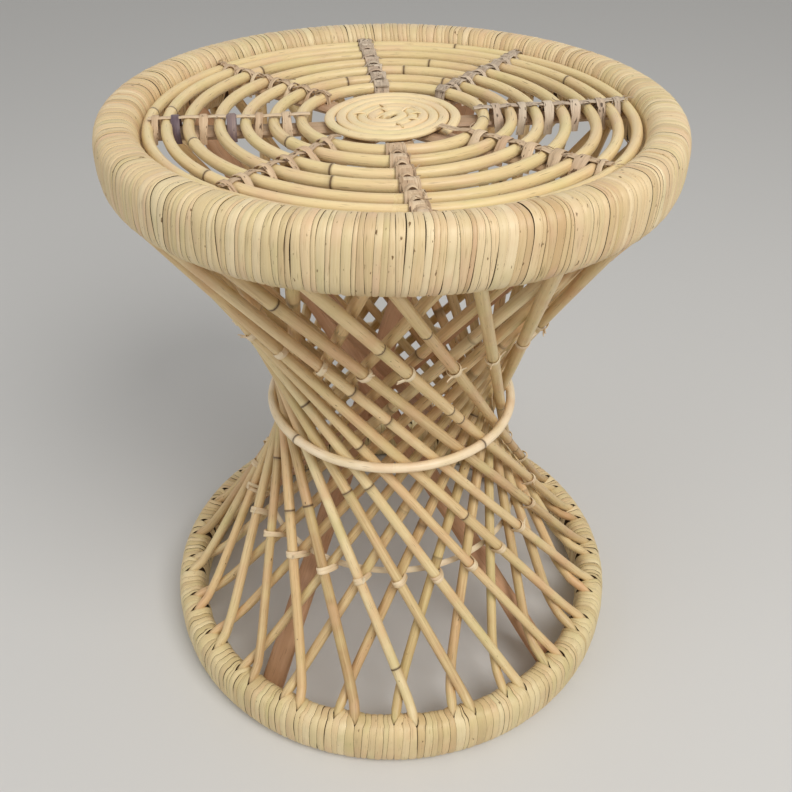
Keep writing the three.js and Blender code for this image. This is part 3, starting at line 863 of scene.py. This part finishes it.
def makeLegs():
    rng = random.Random(legLook["seed"])
    for k, tone in enumerate(legLook["tone"]):
        name = "leg_split_%d" % (k + 1)
        co = np.array([v.co for v in nodes[name].data.vertices])
        centre = co.mean(axis=0)
        axis = np.linalg.svd(co - centre)[2][0]
        axis = axis if axis[2] > 0 else -axis
        # a level direction across the split, and the way its skin side looks
        across = np.cross(axis, upBy(1.0))
        across /= np.linalg.norm(across)
        through = np.cross(across, axis)
        a, w, t = ((co - centre) @ way for way in (axis, across, through))
        low, high = a.min() + legLook["endInset"], a.max() - legLook["endInset"]
        middle = centre + across * (w.min() + w.max()) / 2 + through * (t.min() + t.max()) / 2
        half = (w.max() - w.min()) / 2 * legLook["widthShare"]
        thick = (t.max() - t.min()) / 2 - legLook["faceInset"]
        phase = [rng.uniform(0, turn) for _ in range(4)]
        nodePlaces = [rng.uniform(*span) for span in legLook["nodeRanges"]]

        def atNodes(share, length):
            return sum(math.exp(-((share - p) / length) ** 2) for p in nodePlaces)

        rows, marks = [], []
        for share in np.linspace(0, 1, legLook["steps"]):
            along = low + (high - low) * share
            edge = 1 + sum(size * math.sin(rate * share + start)
                           for (size, rate), start in zip(legLook["edgeWaves"], phase))
            trim = min(1.0, min(share, 1 - share) * legLook["trimRate"] + legLook["trimEnd"])
            bulge = 1 + legLook["bulge"] * atNodes(share, legLook["bulgeLength"])
            wide, deep = half * edge * trim, thick * bulge
            rows.append([middle + axis * along + across * sx * wide + through * sz * deep
                         for sx, sz in legLook["section"]])
            marks.append([legLook["mark"] * atNodes(share, legLook["markLength"])] * len(legLook["section"]))
        store = newStore()
        addGrid(store, rows, True, False, True, tone=tone, mark=marks)
        makePiece("bamboo_" + name, store, "splitBamboo", [name])


makeLegs()


# seat: ring canes, crossed splits, coil and lashings
seatLook = {"ringShares": (0.381, 0.492, 0.606, 0.718, 0.837, 0.928, 1.0), "outerRadius": 156.45 * mm,
            "caneRadius": 3.75 * mm, "radiusSpread": (0.96, 1.03), "sides": 12, "sag": 2.0 * mm,
            "step": 4 * mm, "wobble": 0.8 * mm, "lastWobble": 0.2 * mm, "rise": 0.5 * mm,
            "tone": (0.42, 0.66), "nodeRise": 0.07, "seed": 17,
            "nodeAngles": ((78,), (-55.2, 150.1, -156.1), (-23, 173.3), (-18.8, 164), (-67.6, -134.1),
                           (-46.8, -91.9, 118), (-91.9, 28, 160))}
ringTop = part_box("seat_grille")[1].z
ringMiddle = ringTop - seatLook["caneRadius"]
ringRadii = [s * seatLook["outerRadius"] for s in seatLook["ringShares"]]


def sagAt(radius):
    return -seatLook["sag"] * max(0.0, 1 - (radius / ringRadii[-1]) ** 2)


def makeSeatRings():
    rng = random.Random(seatLook["seed"])
    for k, radius in enumerate(ringRadii):
        wobble = seatLook["lastWobble"] if radius == ringRadii[-1] else seatLook["wobble"]
        path, places = circlePath(radius, ringMiddle + sagAt(radius), seatLook["step"], wobble, rng,
                                  seatLook["rise"], seatLook["nodeAngles"][k])
        store = newStore()
        caneRadius = seatLook["caneRadius"] * rng.uniform(*seatLook["radiusSpread"])
        addCane(store, path, caneRadius, seatLook["sides"], closed=True, tone=rng.uniform(*seatLook["tone"]),
                nodePlaces=places, rise=seatLook["nodeRise"])
        makePiece("seat_ring_%d" % (k + 1), store, "seatCane", ["seat_grille"])


# the crossed splits; each lies a little lower than the one before it
splitLook = {"firstAngle": 6.5, "count": 4, "width": 17 * mm, "thickness": 6 * mm, "below": 2.75 * mm,
             "lowerEach": 0.3 * mm, "halfLength": 167.5 * mm, "steps": 50, "edgeWave": 0.05,
             "tone": (0.35, 0.6), "seed": 19,
             "section": ((-1, -0.35), (-0.85, -0.05), (-0.45, 0), (0.45, 0), (0.85, -0.05), (1, -0.35),
                         (0.8, -0.75), (0.3, -1), (-0.3, -1), (-0.8, -0.75))}


def makeSeatSplits():
    rng = random.Random(splitLook["seed"])
    for k in range(splitLook["count"]):
        along, across = levelWays(math.radians(splitLook["firstAngle"] + 180 / splitLook["count"] * k))
        rows = []
        for share in np.linspace(-1, 1, splitLook["steps"]):
            s = share * splitLook["halfLength"]
            half = splitLook["width"] / 2 * (1 + splitLook["edgeWave"] * math.sin(9 * share + k))
            top = ringMiddle - splitLook["below"] + sagAt(abs(s)) - splitLook["lowerEach"] * k
            rows.append([along * s + across * sx * half + upBy(top + sz * splitLook["thickness"])
                         for sx, sz in splitLook["section"]])
        store = newStore()
        addGrid(store, rows, True, False, True, tone=rng.uniform(*splitLook["tone"]))
        makePiece("seat_split_%d" % (k + 1), store, "seatSplit", ["seat_grille"])


# the coil starts with a short curl that fills its middle, and its end is tucked down and in
coilLook = {"caneRadius": 3.45 * mm, "flat": 0.4, "sides": 14, "seed": 2, "tone": 0.6, "lowered": 2.8 * mm,
            "curl": ((4.6, 1.3), (4.5, -1.0), (3.6, -2.6), (2.2, -3.2)), "bendRadius": 2.9 * mm,
            "startRadius": 3.3 * mm, "pitch": 6.9 * mm, "halfTurns": 11, "steps": 30, "looseGap": 0.7 * mm,
            "endAngle": 51, "shiftX": -1.5 * mm, "waver": 0.3 * mm, "tuckSteps": 6, "tuckDown": 3.5 * mm,
            "tuckIn": 0.05, "tuckPower": 1.6}
coilTieLook = {"count": 8, "angleSpread": 0.3, "range": (8, 22), "halfLength": 4.2 * mm, "rise": 0.9 * mm,
               "sunk": 0.5 * mm, "sway": 0.8 * mm, "width": (1.6, 2.6), "thickness": 0.8 * mm,
               "tone": (0.3, 0.8), "steps": 9}


def makeCoil():
    winding = coilLook["halfTurns"] * math.pi

    def radiusAt(w):
        loose = limited((w - winding + turn) / 2, 0.0, 1.0)
        return (coilLook["startRadius"] + coilLook["pitch"] * w / turn
                + coilLook["looseGap"] * loose * loose * (3 - 2 * loose))

    path = [(x * mm, y * mm) for x, y in coilLook["curl"]]
    for half in range(coilLook["halfTurns"]):
        centre = -coilLook["bendRadius"] if half % 2 == 0 else coilLook["bendRadius"]
        for step in range(1 if half else 0, coilLook["steps"] + 1):
            w = math.pi * (half + step / coilLook["steps"])
            path.append((centre - radiusAt(w) * math.sin(w), -radiusAt(w) * math.cos(w)))
    spin = math.radians(coilLook["endAngle"]) + winding
    c, s = math.cos(spin), math.sin(spin)
    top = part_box("seat_coil")[1].z - coilLook["lowered"]
    middleZ = top - coilLook["caneRadius"] * (1 - coilLook["flat"])
    points = []
    for i, (x, y) in enumerate(path):
        tucked = max(0.0, (i - len(path) + 1) / coilLook["tuckSteps"] + 1) ** coilLook["tuckPower"]
        inward = 1 - coilLook["tuckIn"] * tucked
        x, y = x * inward, y * inward
        waver = coilLook["waver"] * math.sin(i * 0.11) * math.sin(i * 0.037)
        points.append((x * c - y * s + coilLook["shiftX"], x * s + y * c,
                       middleZ + waver - coilLook["tuckDown"] * tucked))
    store = newStore()
    addCane(store, points, coilLook["caneRadius"], coilLook["sides"], tone=coilLook["tone"],
            flat=coilLook["flat"])
    # short strips in the same finish lie over the inner turns
    rng = random.Random(coilLook["seed"])
    look = coilTieLook
    for k in range(look["count"]):
        angle = turn * k / look["count"] + rng.uniform(-look["angleSpread"], look["angleSpread"])
        middle = rng.uniform(*look["range"]) * mm
        along, across = levelWays(angle)
        path = [along * (middle + t * look["halfLength"]) + across * look["sway"] * math.sin(2 * t)
                + np.array([coilLook["shiftX"], 0, top - look["sunk"] + look["rise"] * math.cos(t * 1.4)])
                for t in np.linspace(-1, 1, look["steps"])]
        addStrip(store, path, across, upBy(1.0), rng.uniform(*look["width"]) * mm, look["thickness"],
                 tone=rng.uniform(*look["tone"]))
    makePiece("coil_cane", store, "coilCane", ["seat_coil"])


# lashings: what all spokes share; the points of a loop are across the spoke and up, in millimetres
lashLook = {"thickness": 0.9 * mm, "crown": 0.1, "archDepth": 5 * mm, "archFoot": 1.12, "archSteps": 9,
            "runnerStep": 2 * mm, "runnerHeight": 0.9 * mm, "runnerThickness": 1.0 * mm,
            "runnerSway": 0.8 * mm, "runnerTone": (0.3, 0.5), "runnerInner": 6 * mm, "runnerOuter": 1 * mm,
            "dipLength": 8 * mm, "dipPower": 1.5, "loopHalf": ((-9.2, -7), (-4.6, -1.4), (-2.2, -0.1)),
            "loopTop": 0.25, "loopSide": (9.5, -12), "loopEnd": (9.9, -13.5), "loopWave": 0.12,
            "loopWidth": (0.85, 1.1), "loopRoom": 7 * mm, "loopTone": (0.35, 0.8), "loopHue": (0.2, 0.6),
            "loopLean": (-2, 2), "loopDrift": (-1, 1), "onPatches": 0.4 * mm, "onRunner": 1.6 * mm,
            "seed": 41}
# a torn fibre; its start, length and curl are in millimetres
fibreLook = {"start": (-3, 3), "length": (4, 9), "curl": (-4, 2), "sway": 1.2 * mm, "height": 1.3 * mm,
             "thickness": 0.4 * mm, "widths": (0.9, 0.3), "steps": 6, "tone": (0.1, 0.7)}


# a short strip that arches over a ring cane and goes down on both sides of it
def addArch(store, angle, radius, width, tone, skew, offset, lift):
    along, across = levelWays(angle)
    turned = along * math.cos(skew) + across * math.sin(skew)
    caneRadius = seatLook["caneRadius"] + lift
    centre = along * radius + across * offset + upBy(ringMiddle + sagAt(radius))
    foot = turned * caneRadius * lashLook["archFoot"]
    path, outs = [], []
    for depth in (lashLook["archDepth"], lashLook["archDepth"] / 2):
        path.append(centre - foot - upBy(depth))
        outs.append(-turned)
    for a in np.linspace(math.pi, 0, lashLook["archSteps"]):
        outs.append(turned * math.cos(a) + upBy(math.sin(a)))
        path.append(centre + outs[-1] * caneRadius)
    for depth in (lashLook["archDepth"] / 2, lashLook["archDepth"]):
        path.append(centre + foot - upBy(depth))
        outs.append(turned)
    addStrip(store, path, np.array([-turned[1], turned[0], 0]), outs, width, lashLook["thickness"], tone=tone,
             crown=lashLook["crown"])


# a strip that runs along a spoke on top of the rings, dipping between them
def addRunner(store, angle, fromRadius, toRadius, width, tone, dip, shift):
    along, across = levelWays(angle)
    path = []
    for radius in np.arange(fromRadius, toRadius, lashLook["runnerStep"]):
        nearest = min(abs(radius - r) for r in ringRadii)
        drop = dip * min(1.0, nearest / lashLook["dipLength"]) ** lashLook["dipPower"]
        sway = lashLook["runnerSway"] * math.sin(radius * 90)
        path.append(along * radius + across * (shift + sway)
                    + upBy(ringTop + sagAt(radius) + lashLook["runnerHeight"] - drop))
    addStrip(store, path, across, upBy(1.0), width, lashLook["runnerThickness"], tone=tone,
             crown=lashLook["crown"])


# a strip laid across a spoke between two rings: over what runs along it, then down both sides of the split,
# or only round the strip on top where its reach is less than 1
def addLoop(store, angle, radius, width, tone, hue, top, hangs, lean, shift, reach):
    along, across = levelWays(angle)
    half = list(lashLook["loopHalf"])
    shape = half + [(0, lashLook["loopTop"])] + [(-a, b) for a, b in reversed(half)]
    if reach == 1.0:
        (sideA, sideB), (endA, endB) = lashLook["loopSide"], lashLook["loopEnd"]
        shape = ([(-endA, endB - hangs[0]), (-sideA, sideB)] + shape
                 + [(sideA, sideB), (endA, endB - hangs[1])])
    path, outs, widths = [], [], []
    for a, b in shape:
        path.append(along * (radius + lean * mm * b / -13) + across * (shift + a * reach * mm)
                    + upBy(top + sagAt(radius) + b * mm))
        steep = limited(a / -half[0][0], -1.0, 1.0)
        normal = across * steep * 1.2 + upBy(1 - abs(steep) * 0.9)
        outs.append(normal / np.linalg.norm(normal))
        widths.append(width * (1 + lashLook["loopWave"] * math.sin(a * 0.7 + radius * 300)))
    addStrip(store, path, along, outs, np.array(widths), lashLook["thickness"], tone=tone, hue=hue,
             crown=lashLook["crown"])


# thin torn fibres that stand off a lashing
def addFibres(store, angle, radius, count, rng):
    along, across = levelWays(angle)
    look = fibreLook
    height = ringTop + sagAt(radius) + look["height"]
    widths = np.linspace(*look["widths"], look["steps"]) * mm
    for _ in range(count):
        way = rng.uniform(0, turn)
        level = np.array([math.cos(way), math.sin(way), 0])
        side = np.array([-level[1], level[0], 0])
        start = (along * (radius + rng.uniform(*look["start"]) * mm)
                 + across * rng.uniform(*look["start"]) * mm)
        length, curl = rng.uniform(*look["length"]) * mm, rng.uniform(*look["curl"]) * mm
        path = [start + level * t * length + side * look["sway"] * math.sin(3 * t)
                + upBy(height + curl * t * t) for t in np.linspace(0, 1, look["steps"])]
        addStrip(store, path, side, upBy(1.0), widths, look["thickness"], tone=rng.uniform(*look["tone"]),
                 crown=lashLook["crown"])


# one entry for each spoke: its angle from the front, the strip along it (width and dip between the rings),
# the patches over each ring, the loops between the rings (width and hang) and the torn fibres
spokeLook = {
    "front": {"angle": 6.8, "shift": -7.0, "reach": 0.62, "finish": "lashBark", "runner": (8.0, 3.6),
              "patches": (9.6, 2.4), "loops": (4.5, 2), "fibres": 1},
    "front_right": {"angle": 51.5, "inner": 38, "finish": "lashBark", "runner": (6.0, 1.4), "loops": (7.5, 1),
                    "fibres": 2},
    "right": {"angle": 95.0, "finish": "lashGrey", "runner": (5.6, 0.8), "loops": (6.0, 5), "fibres": 4},
    "back_right": {"angle": 141.5, "finish": "lashGrey", "runner": (8.0, 2.0), "patches": (7.0, 2.4),
                   "loops": (4.0, 1), "fibres": 3},
    "back": {"angle": 186.5, "finish": "lashGrey", "runner": (9.5, 3.0), "patches": (10.0, 2.4),
             "loops": (4.0, 1), "fibres": 3},
    "back_left": {"angle": 231.5, "finish": "lashBark", "runner": (3.6, 2.6), "patches": (3.2, 2.6),
                  "loops": (3.2, 1), "fibres": 2},
    # darkGaps are the gaps whose loop is dark, counted from the middle
    "left": {"angle": 276.5, "finish": "lashBark", "runner": (4.6, 0.5), "runnerTone": 0.75,
             "loops": (5.6, 7), "fibres": 0, "darkGaps": (2, 4)},
    "front_left": {"angle": 321.5, "finish": "lashBark", "runner": (4.8, 2.2), "loops": (5.0, 1),
                   "fibres": 1},
}


# the wide patch over a ring and the narrow strips at both of its sides; offsets are in millimetres
patchLook = {"wide": (0.88, 1.1), "wideTone": (0.5, 0.85), "wideSkew": (-0.12, 0.12),
             "wideOffset": (-0.8, 0.8), "wideLift": 1.0 * mm, "narrow": (0.7, 1.2), "narrowTone": (0.1, 0.6),
             "narrowSkew": (0.04, 0.18), "narrowOffset": (-1.2, 0.1), "narrowLift": 1.15 * mm}


def addPatches(store, angle, radius, patches, shift, rng):
    look = patchLook
    wide, narrow = patches
    addArch(store, angle, radius, wide * rng.uniform(*look["wide"]) * mm, rng.uniform(*look["wideTone"]),
            rng.uniform(*look["wideSkew"]), shift + rng.uniform(*look["wideOffset"]) * mm, look["wideLift"])
    for side in (-1, 1):
        addArch(store, angle, radius, narrow * rng.uniform(*look["narrow"]) * mm,
                rng.uniform(*look["narrowTone"]), side * rng.uniform(*look["narrowSkew"]),
                shift + side * (wide / 2 + rng.uniform(*look["narrowOffset"])) * mm, look["narrowLift"])


def makeLashings():
    rng = random.Random(lashLook["seed"])
    dark = newStore()
    for label, look in spokeLook.items():
        angle = math.radians(look["angle"])
        shift = look.get("shift", 0) * mm
        patches = look.get("patches")
        store = newStore()
        width, dip = look["runner"]
        runnerTone = look["runnerTone"] if "runnerTone" in look else rng.uniform(*lashLook["runnerTone"])
        innerEnd = look["inner"] * mm if "inner" in look else ringRadii[0] - lashLook["runnerInner"]
        outerEnd = ringRadii[-1] + lashLook["runnerOuter"]
        addRunner(store, angle, innerEnd, outerEnd, width * mm, runnerTone, dip * mm, shift)
        loopWidth, hang = look["loops"]
        loopTop = ringTop + lashLook["onPatches" if patches else "onRunner"]
        for k, radius in enumerate(ringRadii):
            if patches:
                addPatches(store, angle, radius, patches, shift, rng)
            if k < len(ringRadii) - 1:
                middle = (radius + ringRadii[k + 1]) / 2 + rng.uniform(*lashLook["loopDrift"]) * mm
                free = ringRadii[k + 1] - radius - lashLook["loopRoom"]
                addLoop(dark if k in look.get("darkGaps", ()) else store, angle, middle,
                        min(loopWidth * mm, free) * rng.uniform(*lashLook["loopWidth"]),
                        rng.uniform(*lashLook["loopTone"]), rng.uniform(*lashLook["loopHue"]), loopTop,
                        (rng.uniform(0, hang), rng.uniform(0, hang)), rng.uniform(*lashLook["loopLean"]),
                        shift, look.get("reach", 1.0))
            addFibres(store, angle, radius, look["fibres"], rng)
        makePiece("lashing_" + label, store, look["finish"])
    makePiece("lashing_left_dark", dark, "lashNavy")


makeSeatRings()
makeSeatSplits()
makeCoil()
makeLashings()
print("seat made")


# floor, light and camera
floorLook = {"size": 12.0, "colour": srgb(214, 213, 211), "rough": 0.9, "specular": 0.1, "z": -0.5 * mm}


def makeFloor():
    half = floorLook["size"] / 2
    mesh = bpy.data.meshes.new("floor")
    corners = [(-half, -half, 0), (half, -half, 0), (half, half, 0), (-half, half, 0)]
    mesh.from_pydata(corners, [], [(0, 1, 2, 3)])
    material = bpy.data.materials.new("paleFloor")
    material.use_nodes = True
    shader = material.node_tree.nodes["Principled BSDF"].inputs
    shader["Base Color"].default_value = floorLook["colour"]
    shader["Roughness"].default_value = floorLook["rough"]
    shader["Specular IOR Level"].default_value = floorLook["specular"]
    mesh.materials.append(material)
    floor = bpy.data.objects.new("floor", mesh)
    floor.location.z = floorLook["z"]
    bpy.context.scene.collection.objects.link(floor)


lampLook = {
    "key": {"place": (0.8, -1.2, 1.9), "aim": (0, 0, 0.3), "size": 1.3, "power": 31.5,
            "colour": (1.0, 0.985, 0.955)},
    "fill": {"place": (-1.5, -0.8, 1.1), "aim": (0, 0, 0.25), "size": 1.6, "power": 6,
             "colour": (0.96, 0.98, 1.0)},
}


def makeLamp(name):
    look = lampLook[name]
    light = bpy.data.lights.new(name, "AREA")
    light.shape = "DISK"
    light.size = look["size"]
    light.energy = look["power"]
    light.color = look["colour"]
    lamp = bpy.data.objects.new(name, light)
    lamp.location = look["place"]
    lamp.rotation_euler = (Vector(look["aim"]) - Vector(look["place"])).to_track_quat("-Z", "Y").to_euler()
    bpy.context.scene.collection.objects.link(lamp)


worldLook = {"colour": (1.0, 0.99, 0.97, 1), "strength": 0.42, "seenColour": srgb(232, 232, 230)}


# camera, glossy and clear rays see a plain pale room, and the other light comes from a weaker one
def makeWorld():
    world = bpy.data.worlds.new("studio")
    bpy.context.scene.world = world
    world.use_nodes = True
    tree = world.node_tree
    tree.nodes.clear()
    lit = addNode(tree, "ShaderNodeBackground", {0: worldLook["colour"], 1: worldLook["strength"]}).outputs[0]
    seen = addNode(tree, "ShaderNodeBackground", {0: worldLook["seenColour"], 1: 1.0}).outputs[0]
    ray = addNode(tree, "ShaderNodeLightPath").outputs
    plainly = calculate(tree, "MAXIMUM", ray["Is Camera Ray"], ray["Is Glossy Ray"])
    plainly = calculate(tree, "MAXIMUM", plainly, ray["Is Transmission Ray"])
    mixed = addNode(tree, "ShaderNodeMixShader", {0: plainly, 1: lit, 2: seen}).outputs[0]
    addNode(tree, "ShaderNodeOutputWorld", {0: mixed})


cameraLook = {"place": (-0.01533, -0.5734, 0.6481), "pitch": 0.6459119, "yaw": 0.0325953, "roll": 0.00552,
              "lens": 40.24, "sensor": 36, "clip": 0.02}


def makeCamera():
    camera = bpy.data.objects.new("camera", bpy.data.cameras.new("camera"))
    camera.data.lens = cameraLook["lens"]
    camera.data.sensor_width = cameraLook["sensor"]
    camera.data.clip_start = cameraLook["clip"]
    pitch, yaw, roll = cameraLook["pitch"], cameraLook["yaw"], cameraLook["roll"]
    ahead = Vector((math.sin(yaw) * math.cos(pitch), math.cos(yaw) * math.cos(pitch), -math.sin(pitch)))
    right = Vector((math.cos(yaw), -math.sin(yaw), 0))
    up = right.cross(ahead)
    tiltedRight = math.cos(roll) * right + math.sin(roll) * up
    tiltedUp = -math.sin(roll) * right + math.cos(roll) * up
    turned = Matrix((tiltedRight, tiltedUp, -ahead)).transposed()
    camera.matrix_world = Matrix.Translation(cameraLook["place"]) @ turned.to_4x4()
    bpy.context.scene.collection.objects.link(camera)
    bpy.context.scene.camera = camera


makeFloor()
makeWorld()
makeLamp("key")
makeLamp("fill")
makeCamera()
bpy.context.scene.view_settings.view_transform = "Standard"
print("floor, light and camera made")
